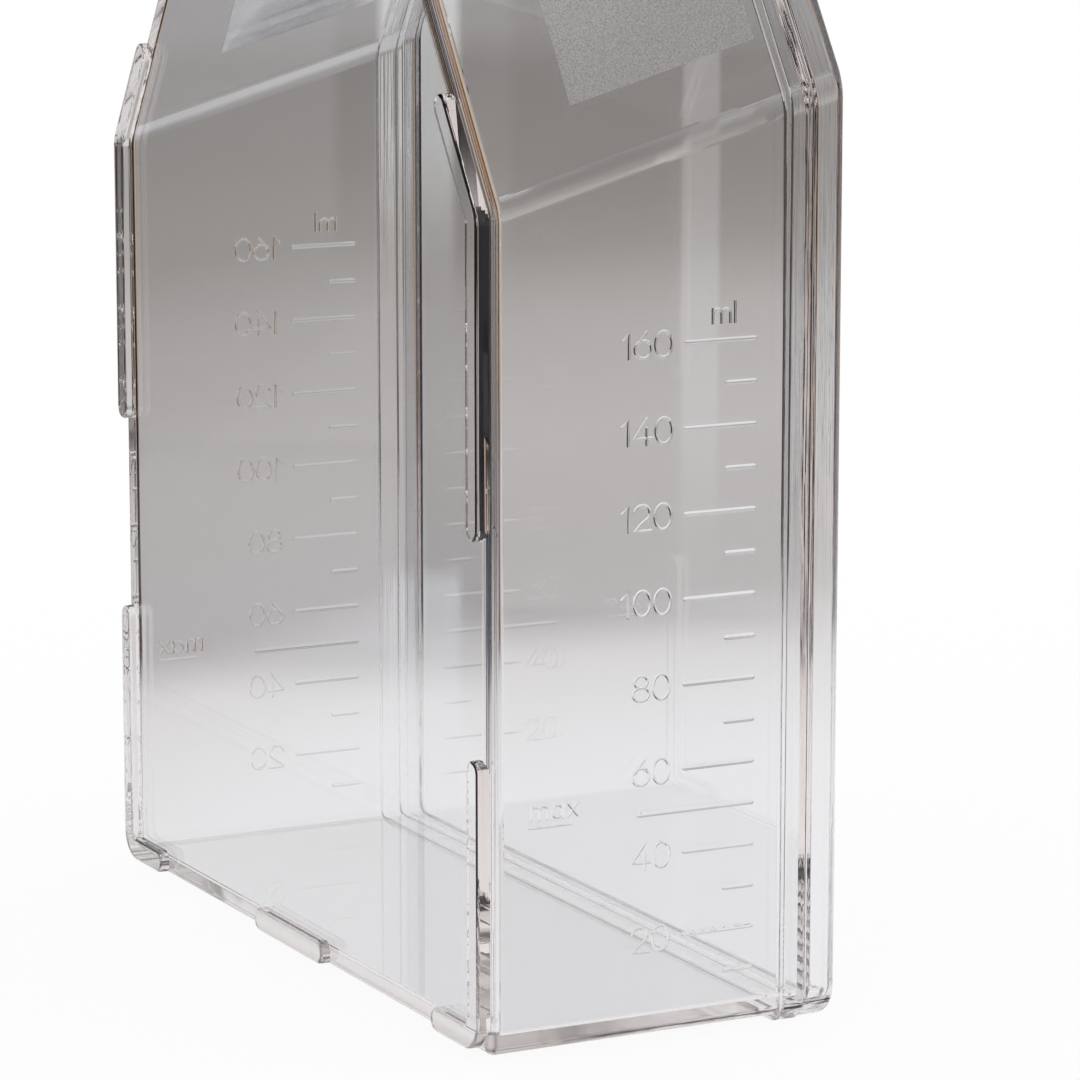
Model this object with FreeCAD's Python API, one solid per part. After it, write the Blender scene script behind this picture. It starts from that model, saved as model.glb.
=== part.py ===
"""Cell culture flask: a moulded tray with a welded cover plate, a canted neck and a vented screw cap.

The tray is the box that holds the medium. Its open side is closed by the cover plate, on which
the cells grow. Above a slanted bend two shoulders lead to a narrow end wall that carries the neck.

While the parts are made, x runs across the width from the middle, y runs from the outside of the
tray's large face towards the cover plate, and z runs up from the outside of the bottom wall.
At the end all parts move together, so that the origin lies under the middle of the whole flask.
"""
import FreeCAD, Part
import math
import os

os.makedirs("parts", exist_ok=True)
Vector = FreeCAD.Vector

# Tray
WIDTH = 85.1  # across the two narrow walls
WALL_DEPTH = 30.35  # narrow walls, from the large face to the flange
WALL = 1.55
FACE_WALL = 1.44  # of the large face
BEND_HEIGHT = 76.9  # where the shoulders begin, at the large face
BEND_HEIGHT_AT_FLANGE = 85.5
SHOULDER_ANGLE = 33.5  # degrees away from the vertical
END_HALF_WIDTH = 17.0  # of the wall that carries the neck
OUTER_FILLET = 1.0
BEND_FILLET = 4.5  # of the outside where walls and shoulders meet
INNER_FILLET = 0.6

# Welded rim: the tray's flange and the cover plate
FLANGE_THICK = 2.25
FLANGE_OUT = 0.95  # beyond the narrow walls, shoulders and end wall
FLANGE_DOWN = 0.8  # below the bottom wall
FLANGE_CORNER = 2.75
COVER_THICK = 3.3
COVER_CORNER = 3.4
COVER_PLATE = 1.25  # the plate inside the raised rim
COVER_RIM = 2.2
COVER_EDGE = 0.5
WELD_EDGE = 0.2  # rounding on both sides of the weld line

# Stacking ridges on the large face
RIDGE_WIDE = 2.3
RIDGE_HIGH = 1.0
RIDGE_INSET = 0.3
RIDGE_CORNER = 3.0
RIDGE_LOW_TOP = 27.5
RIDGE_HIGH_BOTTOM = 47.5
RIDGE_HIGH_TOP = 87.0
RIDGE_LEG_END = 32.3
RIDGE_MIDDLE_HALF = 8.1
RIDGE_EDGE = 0.3

# Volume scale: one raised bar for each 10 ml on both narrow walls
SCALE_ZERO = 1.3
SCALE_STEP = 3.94
SCALE_BARS = 16
MAX_FILL_BAR = 5  # the long bar at 50 ml, counted in steps
BAR_END = 27.5
LONG_BAR_START = 19.9
SHORT_BAR_START = 24.2
MAX_BAR_START = 15.2
BAR_WIDE = 0.6
BAR_HIGH = 0.08

# Neck
NECK_Y = 17.5  # where its axis leaves the end wall
NECK_RADIUS = 11.6
NECK_BORE = 10.0
NECK_LENGTH = 21.0
NECK_EDGE = 0.4

# Cap and its insert, measured along the neck's axis from the end wall
CAP_START = 2.5
CAP_RADIUS = 13.9
CAP_BORE = 12.9
CAP_TOP = 1.65
CAP_EDGE = 0.5
RIB_COUNT = 48
RIB_ROOT = 13.8
RIB_CREST = 14.4
RIB_SHARE = 0.55  # of each rib's pitch at its root
RIB_MARGIN = 1.2
RING_RADIUS = 12.5
RING_BORE = 9.0
RING_THICK = 1.4
MEMBRANE_RADIUS = 11.4
MEMBRANE_THICK = 0.25
TURNING_GAP = 0.1
VENT_RADIUS = 2.0
VENT_CIRCLE = 5.8
VENT_COUNT = 6

# Working allowances
CLOSE = 0.01  # points nearer than this are the same
SAME_EDGE = 0.1  # an edge moves by less than this when its neighbours are rounded
SPARE = 1.0  # a cutting tool reaches this far past the surface

SLOPE = (BEND_HEIGHT_AT_FLANGE - BEND_HEIGHT) / WALL_DEPTH
CANT = math.degrees(math.atan(SLOPE))
SHOULDER = math.radians(SHOULDER_ANGLE)
END_HEIGHT = BEND_HEIGHT + (WIDTH / 2 - END_HALF_WIDTH) / math.tan(SHOULDER)
TRAY_DEPTH = WALL_DEPTH + FLANGE_THICK
DEPTH = TRAY_DEPTH + COVER_THICK
NECK_BASE = Vector(0, NECK_Y, END_HEIGHT + SLOPE * NECK_Y)
NECK_AXIS = Vector(0, -math.sin(math.radians(CANT)), math.cos(math.radians(CANT)))


def outline(y, out, down):
    """Corners of the flask's outline at depth y, moved outwards by out and down by down."""
    side = WIDTH / 2 + out
    bend = BEND_HEIGHT + SLOPE * y + out * math.tan(SHOULDER / 2)
    end_half = END_HALF_WIDTH + out * math.tan((math.pi / 2 - SHOULDER) / 2)
    end = END_HEIGHT + SLOPE * y + out
    right = [(side, -down), (side, bend), (end_half, end)]
    left = [(-x, z) for x, z in reversed(right)]
    return [Vector(x, y, z) for x, z in right + left]


def block(y0, y1, out, down):
    """Solid between the outlines at depths y0 and y1."""
    front = outline(y0, out, down)
    back = outline(y1, out, down)
    rings = [front, back]
    for i in range(len(front)):
        j = (i + 1) % len(front)
        rings.append([front[i], front[j], back[j], back[i]])
    faces = [Part.Face(Part.makePolygon(ring + ring[:1])) for ring in rings]
    solid = Part.Solid(Part.Shell(faces))
    if solid.Volume < 0:
        solid.reverse()
    return solid


def edges_off_depth(solid, y):
    """Edges that don't lie wholly at depth y."""
    return [e for e in solid.Edges if any(abs(v.Y - y) > CLOSE for v in e.Vertexes)]


def edges_at_depth(solid, y):
    """Edges that lie wholly at depth y."""
    return [e for e in solid.Edges if all(abs(v.Y - y) < CLOSE for v in e.Vertexes)]


def through_edges(solid):
    """Edges that run through the thickness of a solid: those at its bottom, and the others."""
    low = min(v.Z for v in solid.Vertexes)
    through = [e for e in solid.Edges if abs(e.Vertexes[0].Y - e.Vertexes[-1].Y) > CLOSE]
    bottom = [e for e in through if max(v.Z for v in e.Vertexes) < low + CLOSE]
    upper = [e for e in through if min(v.Z for v in e.Vertexes) > low + CLOSE]
    return bottom, upper


def round_corners(solid, bottom_radius, other_radius):
    """Round the edges that run through the thickness of a flange, plate or recess."""
    bottom, upper = through_edges(solid)
    solid = solid.makeFillet(bottom_radius, bottom)
    upper = [
        e
        for e in solid.Edges
        if any(e.CenterOfMass.distanceToPoint(u.CenterOfMass) < SAME_EDGE for u in upper)
    ]
    return solid.makeFillet(other_radius, upper)


def cylinder(radius, start, length):
    """Cylinder on the neck's axis, from start along it."""
    return Part.makeCylinder(radius, length, NECK_BASE + NECK_AXIS * start, NECK_AXIS)


def straight_band(start, stop):
    """Outline of a straight ridge with round ends."""
    half = RIDGE_WIDE / 2
    along = (stop - start).normalize() * half
    across = Vector(-along.z, 0, along.x)
    return Part.Wire([
        Part.makeLine(start + across, stop + across),
        Part.Arc(stop + across, stop + along, stop - across).toShape(),
        Part.makeLine(stop - across, start - across),
        Part.Arc(start - across, start - along, start + across).toShape(),
    ])


def bent_band(before, bend, after, corner):
    """Outline of a ridge with round ends that turns at bend with the radius corner."""
    to_before = (before - bend).normalize()
    to_after = (after - bend).normalize()
    half = to_before.getAngle(to_after) / 2
    start = bend + to_before * (corner / math.tan(half))
    stop = bend + to_after * (corner / math.tan(half))
    inward = (to_before + to_after).normalize()
    middle = bend + inward * (corner / math.sin(half) - corner)
    path = Part.Wire([
        Part.makeLine(before, start),
        Part.Arc(start, middle, stop).toShape(),
        Part.makeLine(stop, after),
    ])
    return path.makeOffset2D(RIDGE_WIDE / 2, 0, False, False)


def ridge(points, corner):
    """Round-ended ridge on the large face along two or three points in x and z."""
    places = [Vector(x, FACE_WALL / 2, z) for x, z in points]
    band = straight_band(*places) if len(places) == 2 else bent_band(*places, corner)
    solid = Part.Face(band).extrude(Vector(0, -RIDGE_HIGH - FACE_WALL / 2, 0))
    return solid.makeFillet(RIDGE_EDGE, edges_at_depth(solid, -RIDGE_HIGH))


def mirrored(points):
    """The same points on the other side of the middle."""
    return [(-x, z) for x, z in points]


def stacking_ridges():
    """Five ridges near the edge of the large face, on which another flask rests in a stack."""
    inset = RIDGE_INSET + RIDGE_WIDE / 2
    side = WIDTH / 2 - inset
    end = RIDGE_WIDE / 2
    low = [(side, RIDGE_LOW_TOP - end), (side, inset), (RIDGE_LEG_END + end, inset)]
    bend = BEND_HEIGHT - inset * math.tan(SHOULDER / 2)
    rise = RIDGE_HIGH_TOP - end - bend
    high = [
        (side, RIDGE_HIGH_BOTTOM + end),
        (side, bend),
        (side - rise * math.tan(SHOULDER), bend + rise),
    ]
    middle = RIDGE_MIDDLE_HALF - end
    corner = RIDGE_CORNER - RIDGE_WIDE / 2
    ridges = [ridge([(-middle, inset), (middle, inset)], corner)]
    for points in (low, high):
        ridges.append(ridge(points, corner))
        ridges.append(ridge(mirrored(points), corner))
    return ridges


def scale_bars():
    """Raised bars of the volume scale on both narrow walls."""
    starts = {}
    for step in range(1, SCALE_BARS + 1):
        starts[step] = SHORT_BAR_START if step % 2 else LONG_BAR_START
    starts[MAX_FILL_BAR] = MAX_BAR_START
    thick = WALL / 2 + BAR_HIGH
    bars = []
    for middle in (-WIDTH / 2 - BAR_HIGH + thick / 2, WIDTH / 2 + BAR_HIGH - thick / 2):
        for step, start in starts.items():
            height = SCALE_ZERO + SCALE_STEP * step - BAR_WIDE / 2
            corner = Vector(middle - thick / 2, start, height)
            bars.append(Part.makeBox(thick, BAR_END - start, BAR_WIDE, corner))
    return bars


def flask_body():
    """Moulded tray in one piece with its neck, flange, ridges and scale."""
    outside = block(0, TRAY_DEPTH, 0, 0)
    outside = outside.makeFillet(BEND_FILLET, through_edges(outside)[1])
    outside = outside.makeFillet(OUTER_FILLET, edges_at_depth(outside, 0) + through_edges(outside)[0])
    flange = block(WALL_DEPTH, TRAY_DEPTH, FLANGE_OUT, FLANGE_DOWN)
    flange = round_corners(flange, FLANGE_CORNER, FLANGE_CORNER)
    both_edges = edges_at_depth(flange, WALL_DEPTH) + edges_at_depth(flange, TRAY_DEPTH)
    flange = flange.makeFillet(WELD_EDGE, both_edges)
    neck = cylinder(NECK_RADIUS, -WALL / 2, NECK_LENGTH + WALL / 2)
    inside = block(FACE_WALL, TRAY_DEPTH + SPARE, -WALL, -WALL)
    inside = inside.makeFillet(INNER_FILLET, edges_off_depth(inside, TRAY_DEPTH + SPARE))
    bore = cylinder(NECK_BORE, -WALL - SPARE, NECK_LENGTH + WALL + 2 * SPARE)
    body = outside.fuse([flange, neck] + stacking_ridges() + scale_bars())
    body = body.cut([inside, bore]).removeSplitter()
    mouth = NECK_BASE + NECK_AXIS * NECK_LENGTH
    rim = [e for e in body.Edges if e.CenterOfMass.distanceToPoint(mouth) < CLOSE]
    return body.makeFillet(NECK_EDGE, rim)


def cover_plate():
    """Flat plate welded to the flange, with a raised rim around the outside of its clear window."""
    plate = block(TRAY_DEPTH, DEPTH, FLANGE_OUT, FLANGE_DOWN)
    plate = round_corners(plate, COVER_CORNER, COVER_CORNER)
    plate = plate.makeFillet(COVER_EDGE, edges_at_depth(plate, DEPTH))
    plate = plate.makeFillet(WELD_EDGE, edges_at_depth(plate, TRAY_DEPTH))
    inset = COVER_RIM - FLANGE_OUT
    window = block(TRAY_DEPTH + COVER_PLATE, DEPTH + SPARE, -inset, FLANGE_DOWN - COVER_RIM)
    window = round_corners(window, COVER_CORNER - COVER_RIM, COVER_CORNER - COVER_RIM)
    return plate.cut(window)


def cap_ribs(height):
    """Star-shaped prism whose points are the ribs round the cap."""
    pitch = 2 * math.pi / RIB_COUNT
    profile = []
    for i in range(RIB_COUNT):
        for share, radius in ((-0.5, RIB_ROOT), (-0.25, RIB_CREST), (0.25, RIB_CREST), (0.5, RIB_ROOT)):
            turn = pitch * (i + share * RIB_SHARE)
            profile.append(Vector(radius * math.cos(turn), radius * math.sin(turn), 0))
    star = Part.Face(Part.makePolygon(profile + profile[:1]))
    ribs = star.extrude(Vector(0, 0, height - 2 * RIB_MARGIN))
    turn = FreeCAD.Rotation(Vector(0, 0, 1), NECK_AXIS)
    ribs.Placement = FreeCAD.Placement(NECK_BASE + NECK_AXIS * (CAP_START + RIB_MARGIN), turn)
    return ribs


def screw_cap():
    """Ribbed cap with round vents in its top. Its thread is finer than this model."""
    top = NECK_LENGTH + RING_THICK + MEMBRANE_THICK + 2 * TURNING_GAP
    height = top + CAP_TOP - CAP_START
    shell = cylinder(CAP_RADIUS, CAP_START, height)
    shell = shell.makeFillet(CAP_EDGE, [e for e in shell.Edges if e.isClosed()])
    across = Vector(1, 0, 0)
    along = NECK_AXIS.cross(across)
    hollow = cylinder(CAP_BORE, CAP_START - SPARE, top - CAP_START + SPARE)
    middle_vent = cylinder(VENT_RADIUS, top - SPARE, CAP_TOP + 2 * SPARE)
    cuts = [hollow, middle_vent]
    for i in range(VENT_COUNT):
        angle = 2 * math.pi * i / VENT_COUNT
        vent = middle_vent.copy()
        vent.translate((across * math.cos(angle) + along * math.sin(angle)) * VENT_CIRCLE)
        cuts.append(vent)
    return shell.fuse(cap_ribs(height)).cut(cuts)


def sealing_ring():
    """Flat ring inside the cap that seals on the neck's rim and holds the membrane."""
    start = NECK_LENGTH + TURNING_GAP
    ring = cylinder(RING_RADIUS, start, RING_THICK)
    return ring.cut(cylinder(RING_BORE, start - SPARE, RING_THICK + 2 * SPARE))


def filter_membrane():
    """Thin disc on the sealing ring, under the vents."""
    return cylinder(MEMBRANE_RADIUS, NECK_LENGTH + TURNING_GAP + RING_THICK, MEMBRANE_THICK)


parts = {
    "flask_body": flask_body(),
    "cover_plate": cover_plate(),
    "screw_cap": screw_cap(),
    "sealing_ring": sealing_ring(),
    "filter_membrane": filter_membrane(),
}
whole = Part.makeCompound(list(parts.values())).optimalBoundingBox(False, False)
shift = Vector(0, -(whole.YMin + whole.YMax) / 2, -whole.ZMin)
for name, shape in parts.items():
    shape.translate(shift)
    shape.exportStep("parts/" + name + ".step")
    state = "valid" if shape.isValid() else "NOT VALID"
    print(name, state, len(shape.Solids), round(shape.Volume), "mm3")
print("whole", [round(v, 3) for v in (whole.XLength, whole.YLength, whole.ZLength)])
print("shift", [round(v, 4) for v in shift])
print("neck base", [round(v, 4) for v in NECK_BASE + shift], "axis", [round(v, 6) for v in NECK_AXIS])
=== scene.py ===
"""Looks for the cell culture flask: a clear moulded tray with a welded cover plate, and a vented screw cap.

Lengths are in millimetres until a mesh is made. A point is first worked out in the flask's own frame:
x across from the middle, y from the outside of the large face towards the cover plate, z up from the bottom.
"""
import math

import bpy
import numpy as np
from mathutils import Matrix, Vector


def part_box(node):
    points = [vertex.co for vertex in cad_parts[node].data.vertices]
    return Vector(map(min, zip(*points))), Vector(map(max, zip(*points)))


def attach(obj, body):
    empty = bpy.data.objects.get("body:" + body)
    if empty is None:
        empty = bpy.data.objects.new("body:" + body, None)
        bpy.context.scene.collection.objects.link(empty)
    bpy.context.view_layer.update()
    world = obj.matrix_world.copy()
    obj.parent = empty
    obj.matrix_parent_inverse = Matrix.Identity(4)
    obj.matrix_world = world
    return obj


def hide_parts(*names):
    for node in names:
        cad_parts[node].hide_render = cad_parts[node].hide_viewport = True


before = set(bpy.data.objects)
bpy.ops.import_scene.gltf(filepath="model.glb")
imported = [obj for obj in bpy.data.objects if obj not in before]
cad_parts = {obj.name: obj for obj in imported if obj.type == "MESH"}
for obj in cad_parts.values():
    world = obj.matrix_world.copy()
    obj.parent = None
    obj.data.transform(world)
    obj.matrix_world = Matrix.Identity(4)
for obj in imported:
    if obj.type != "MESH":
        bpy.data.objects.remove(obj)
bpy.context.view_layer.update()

MM = 0.001

# Tray
HALF_WIDTH = 42.55
WALL_DEPTH = 30.35  # of the narrow walls, from the large face to the flange
WALL = 1.55
FACE_WALL = 1.44  # of the large face
BEND_HEIGHT = 76.9  # where the shoulders begin, at the large face
SLOPE = 8.6 / 30.35  # rise of the bend and the end wall with depth
SHOULDER = math.radians(33.5)  # away from the vertical
END_HALF_WIDTH = 17.0
OUTER_FILLET = 1.0
INNER_FILLET = 0.6
BEND_FILLET = 4.5  # of the outside where walls and shoulders meet
ROOT_FILLET = 0.3  # under the flange

# Welded rim
FLANGE_THICK = 2.25
FLANGE_OUT = 0.95
FLANGE_DOWN = 0.8
FLANGE_CORNER = 2.75
COVER_THICK = 3.3
COVER_CORNER = 3.4
COVER_PLATE = 1.25
COVER_RIM = 2.2
COVER_EDGE = 0.5
WELD_EDGE = 0.2
RECESS_EDGE = 0.12

# Stacking ridges on the large face
RIDGE_WIDE = 2.3
RIDGE_HIGH = 1.0
RIDGE_INSET = 0.3
RIDGE_CORNER = 3.0
RIDGE_LOW_TOP = 27.5
RIDGE_HIGH_BOTTOM = 47.5
RIDGE_HIGH_TOP = 87.0
RIDGE_LEG_END = 32.3
RIDGE_MIDDLE_HALF = 8.1
RIDGE_EDGE = 0.3

# Volume scale
SCALE_ZERO = 1.3
SCALE_STEP = 3.94  # for 10 ml
SCALE_BARS = 16
MAX_FILL_BAR = 5
BAR_END = 27.5
LONG_BAR_START = 19.9
SHORT_BAR_START = 24.2
MAX_BAR_START = 15.2
BAR_WIDE = 0.6
BAR_HIGH = 0.08
STROKE_WIDE = 0.36
STROKE_HIGH = 0.06
BEAD_SINK = 0.004
BEAD_ROOT = 0.4
DIGIT_HIGH = 2.36
SIGN_GAP = 0.4  # between the digits of a number
LETTER_GAP = 0.5  # between the letters of a word
NUMBER_MIDDLE = {2: 16.65, 3: 16.1}  # along the wall, by how many digits the number has
ML_SIGN = (24.0, 65.9, 1.9)  # middle, foot and height
MAX_SIGN = (6.7, 21.75, 1.75)
MAX_LINE = (4.0, 8.5)  # the line under "max", from and to

# Neck, measured along its axis from the end wall
NECK_Y = 17.5
NECK_RADIUS = 11.6
NECK_BORE = 10.0
NECK_LENGTH = 21.0
NECK_EDGE = 0.4
NECK_ROOT = 0.5
THREAD_PITCH = 3.0
THREAD_LEAD = 6.0  # two starts
THREAD_HIGH = 0.7
THREAD_WIDE = 1.3
THREAD_START = 4.5
THREAD_END = 17.5
THREAD_FADE = 1.5  # over which it sets in and dies out

# Frosted writing field on each shoulder: heights above the bend, and depths
FIELD_LOW = 5.96
FIELD_HIGH = 30.0
FIELD_NEAR = 10.3
FIELD_FAR = 29.2
FIELD_RAISED = 0.02

# Cap
CAP_START = 2.5
CAP_RADIUS = 13.9
CAP_BORE = 12.9
CAP_TOP_THICK = 1.65
CAP_EDGE = 0.5
CAP_INSIDE_TOP = 22.85
RIB_COUNT = 48
RIB_OUT = 0.6
RIB_MARGIN = 1.2
VENT_RADIUS = 2.0
VENT_CIRCLE = 5.8
VENT_COUNT = 6  # round the one in the middle
VENT_EDGE = 0.25

# What the plastic shows of the studio, painted on the floor and sky for the plastic alone as painted
# reflections,
# in metres: the floor's colours by distance, how far they move by column (across over behind), bands, and the
# sky's colours by height. A band runs between two columns, with soft edges, sets in from a near distance to a
# far one, and mixes in a share of its colour.
FLOOR_SIDE = (0.457, 0.889)
PAINTED_FLOOR_TONES = [(0.0, "#f0f0f1"), (0.07, "#eeeeef"), (0.1, "#e8e8e8"), (0.14, "#e1dfdf"), (0.17, "#cecbca"),
               (0.25, "#d0ccca"), (0.33, "#d3cfcd"), (0.47, "#c8c4c1"), (0.6, "#b0aba6"), (0.8, "#a19c97"),
               (1.15, "#999491"), (1.35, "#aaa7a5")]
FLOOR_SHIFT = [(-0.09, 0.035), (-0.034, -0.021), (-0.013, -0.01), (-0.004, 0.005), (0.053, -0.027)]
# Painted reflections: light stripes, thin grey-blue lines and grey and dark stretches painted on the floor,
# which only the plastic shows in its walls and rim.
PAINTED_FLOOR_BANDS = [  # low column, high column, soft, near, far, share, colour
    (-0.033, -0.019, 0.003, 0.4, 0.9, 0.8, "#f0f0ee"),
    (-0.09, -0.046, 0.004, 0.4, 0.7, 0.3, "#c0bdbb"),
    (0.0318, 0.0382, 0.0015, 0.15, 0.4, 0.3, "#f4f4f4"),
    (-0.031, -0.017, 0.003, 0.21, 0.185, 1.0, "#eeeef0"),
    (-0.004, 0.06, 0.004, 0.5, 0.75, 0.25, "#847e78"),
    (0.14, 0.6, 0.03, 0.2, 0.26, 0.95, "#1c150e"),
    (0.0556, 0.0594, 0.0006, 0.15, 0.3, 0.5, "#6f7077"),
    (0.0621, 0.0633, 0.0004, 0.25, 0.45, 0.8, "#5f7f98"),
]
FLOOR_MIDDLE = 0.0096  # across, where column 0 lies
VIEWER_BACK = 0.45  # from the flask to the point that the columns fan out from
# Painted sky: tones that only the plastic shows, grey at the sides and white overhead, for painted highlights
# on its rims.
PAINTED_SKY_TONES = [(0.0, "#b4b1ae"), (0.5, "#8f8c8a"), (0.84, "#858280"), (0.95, "#ffffff")]
# A painted dark curtain that only the plastic shows: navy with an orange and a blue fringe, which puts painted
# shade and coloured fringes into its edges.
PAINTED_CURTAIN_SIDE = (-0.876, -0.482)
PAINTED_CURTAIN_TONES = [(-0.6, "#cdb79d"), (-0.54, "#b4753f"), (-0.47, "#060b16"), (0.33, "#060b16"),
                 (0.42, "#1f4a86"), (0.52, "#9f9b98")]
CAMERA_PLACE = (404.7, -197.475, 121.8)
CAMERA_AZIMUTH = math.radians(62.80)
CAMERA_ELEVATION = math.radians(10.24)
CAMERA_LENS = 154.13
CAMERA_SENSOR = 36
LIGHT_BOUNCES = 32  # many, because light runs to and fro inside the walls
POLYSTYRENE_IOR = 1.59
POLYETHYLENE_IOR = 1.54

TRAY_DEPTH = WALL_DEPTH + FLANGE_THICK
DEPTH = TRAY_DEPTH + COVER_THICK
END_HEIGHT = BEND_HEIGHT + (HALF_WIDTH - END_HALF_WIDTH) / math.tan(SHOULDER)
CORNER_STEPS = 14
SMALLEST_RADIUS = 0.03
FILLET_STEPS = 10
TURN_STEPS = 128  # round the neck
VENT_STEPS = 48  # round a vent

cover_low, cover_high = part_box("cover_plate")
SHIFT = np.array([0.0, cover_high.y / MM - DEPTH, cover_low.z / MM + FLANGE_DOWN])
CANT = math.atan(SLOPE)
NECK_AXIS = np.array([0.0, -math.sin(CANT), math.cos(CANT)])
NECK_BASE = np.array([0.0, NECK_Y, END_HEIGHT + SLOPE * NECK_Y])
NECK_ACROSS = np.array([1.0, 0.0, 0.0])
NECK_ALONG = np.cross(NECK_AXIS, NECK_ACROSS)


# Surfaces

def grid_faces(rows, columns, first=0, round_rows=False):
    """Quads between the rows of a grid of points whose columns close; round_rows closes the rows too."""
    i, j = np.meshgrid(np.arange(rows if round_rows else rows - 1), np.arange(columns), indexing="ij")
    below, above = i * columns, ((i + 1) % rows) * columns
    after = (j + 1) % columns
    quads = np.stack([below + j, below + after, above + after, above + j], axis=-1)
    return (quads.reshape(-1, 4) + first).tolist()


def closed_stack(stack):
    """Points and faces of the solid whose skin passes through each row of stack, with flat ends."""
    rows, columns = stack.shape[:2]
    faces = grid_faces(rows, columns)
    faces.append(list(range(columns))[::-1])
    faces.append(list(range((rows - 1) * columns, rows * columns)))
    return stack.reshape(-1, 3), faces


def outline_rows(y, out, down, corner, bend):
    """Rows of points round the flask, one for each depth y.

    Each row is the six-sided outline at that depth, pushed out by out and down by down. Its two bottom
    corners are rounded to the radius corner and the other four to bend. A corner's centre is where the two
    neighbouring sides meet when moved in by the radius, and its points are centre + radius * (cos, sin) of
    the angle that turns from one side's normal to the next.
    """
    y, out, down, corner, bend = (
        np.asarray(v, float)[:, None] for v in np.broadcast_arrays(y, out, down, corner, bend))
    radius = np.maximum(np.concatenate([corner, bend, bend, bend, bend, corner], axis=1), SMALLEST_RADIUS)
    turns = np.array([-math.pi / 2, 0, SHOULDER, math.pi / 2, math.pi - SHOULDER, math.pi])
    reach = np.concatenate([
        down,
        HALF_WIDTH + out,
        HALF_WIDTH * math.cos(SHOULDER) + (BEND_HEIGHT + SLOPE * y) * math.sin(SHOULDER) + out,
        END_HEIGHT + SLOPE * y + out,
        HALF_WIDTH * math.cos(SHOULDER) + (BEND_HEIGHT + SLOPE * y) * math.sin(SHOULDER) + out,
        HALF_WIDTH + out,
    ], axis=1)
    next_turns = np.append(turns[1:], 1.5 * math.pi)
    next_reach = np.roll(reach, -1, axis=1) - radius
    reach = reach - radius
    sine = np.sin(next_turns - turns)
    x = (reach * np.sin(next_turns) - next_reach * np.sin(turns)) / sine
    z = (next_reach * np.cos(turns) - reach * np.cos(next_turns)) / sine
    share = np.linspace(0, 1, CORNER_STEPS + 1)
    angle = (turns[:, None] + (next_turns - turns)[:, None] * share).reshape(1, -1)
    radius = np.repeat(radius, CORNER_STEPS + 1, axis=1)
    x = np.repeat(x, CORNER_STEPS + 1, axis=1) + radius * np.cos(angle)
    z = np.repeat(z, CORNER_STEPS + 1, axis=1) + radius * np.sin(angle)
    return np.stack([x, np.broadcast_to(y, x.shape), z], axis=-1)


def quarter(centre, radius, start, stop, steps=FILLET_STEPS):
    """Points of an arc in the plane of a profile, from the angle start to stop in degrees."""
    turn = np.radians(np.linspace(start, stop, steps + 1))
    return np.stack([centre[0] + radius * np.cos(turn), centre[1] + radius * np.sin(turn)], axis=1)


def outside_skin():
    """Outside of tray and cover: a profile of depth and reach carried round the outline.

    The profile is the rounded edge of the large face, the narrow wall, the flange's step, the groove of the
    weld, the cover's edge and its raised rim, and ends in the window's sunk face.
    """
    wall = quarter((OUTER_FILLET, -OUTER_FILLET), OUTER_FILLET, 180, 90)
    root = quarter((WALL_DEPTH - ROOT_FILLET, ROOT_FILLET), ROOT_FILLET, 270, 360, 5)
    edge = FLANGE_OUT - WELD_EDGE
    flange = np.concatenate([
        quarter((WALL_DEPTH + WELD_EDGE, edge), WELD_EDGE, 180, 90, 5),
        quarter((TRAY_DEPTH - WELD_EDGE, edge), WELD_EDGE, 90, 5, 5),
    ])
    cover = np.concatenate([
        quarter((TRAY_DEPTH + WELD_EDGE, edge), WELD_EDGE, 175, 90, 5),
        quarter((DEPTH - COVER_EDGE, FLANGE_OUT - COVER_EDGE), COVER_EDGE, 90, 0, 8),
    ])
    rim = FLANGE_OUT - COVER_RIM
    recess = np.concatenate([
        quarter((DEPTH - RECESS_EDGE, rim + RECESS_EDGE), RECESS_EDGE, 0, -90, 3),
        quarter((TRAY_DEPTH + COVER_PLATE + RECESS_EDGE, rim - RECESS_EDGE), RECESS_EDGE, 90, 180, 3),
    ])
    flange_corner, cover_corner = FLANGE_CORNER - FLANGE_OUT, COVER_CORNER - FLANGE_OUT
    parts = [(wall, OUTER_FILLET, BEND_FILLET, 0), (root, OUTER_FILLET, BEND_FILLET, 0),
             (flange, flange_corner, BEND_FILLET, 1), (cover, cover_corner, BEND_FILLET, 1),
             (recess, cover_corner, BEND_FILLET, 1)]
    rows = []
    for profile, corner, bend, low in parts:
        y, out = profile.T
        down = out + low * (FLANGE_DOWN - FLANGE_OUT)
        rows.append(outline_rows(y, out, down, corner + out, bend + out))
    return closed_stack(np.concatenate(rows))


def chamber_skin():
    """The hollow of the tray: the outline set in by the wall, inner edges rounded, up to the cover plate."""
    rise = quarter((FACE_WALL + INNER_FILLET, -WALL - INNER_FILLET), INNER_FILLET, 180, 90)
    y, out = np.append(rise, [[TRAY_DEPTH, -WALL]], axis=0).T
    return closed_stack(outline_rows(y, out, out, INNER_FILLET + WALL + out, BEND_FILLET + out))


def field_skin(side):
    """A writing field: a thin slab on the shoulder of that side, raised above it by a hair.

    The mirrored slab of side -1 comes out inside out, which still has to be put right.
    """
    depth = np.array([FIELD_NEAR, FIELD_FAR, FIELD_FAR, FIELD_NEAR])
    rise = np.array([FIELD_LOW, FIELD_LOW, FIELD_HIGH, FIELD_HIGH])
    across, up = HALF_WIDTH - rise * math.tan(SHOULDER), BEND_HEIGHT + SLOPE * depth + rise
    plane = np.stack([across, depth, up], axis=1)
    normal = np.array([math.cos(SHOULDER), -SLOPE * math.sin(SHOULDER), math.sin(SHOULDER)])
    normal /= np.linalg.norm(normal)
    return closed_stack(np.stack([plane - WALL / 2 * normal, plane + FIELD_RAISED * normal]) * [side, 1, 1])


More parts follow.
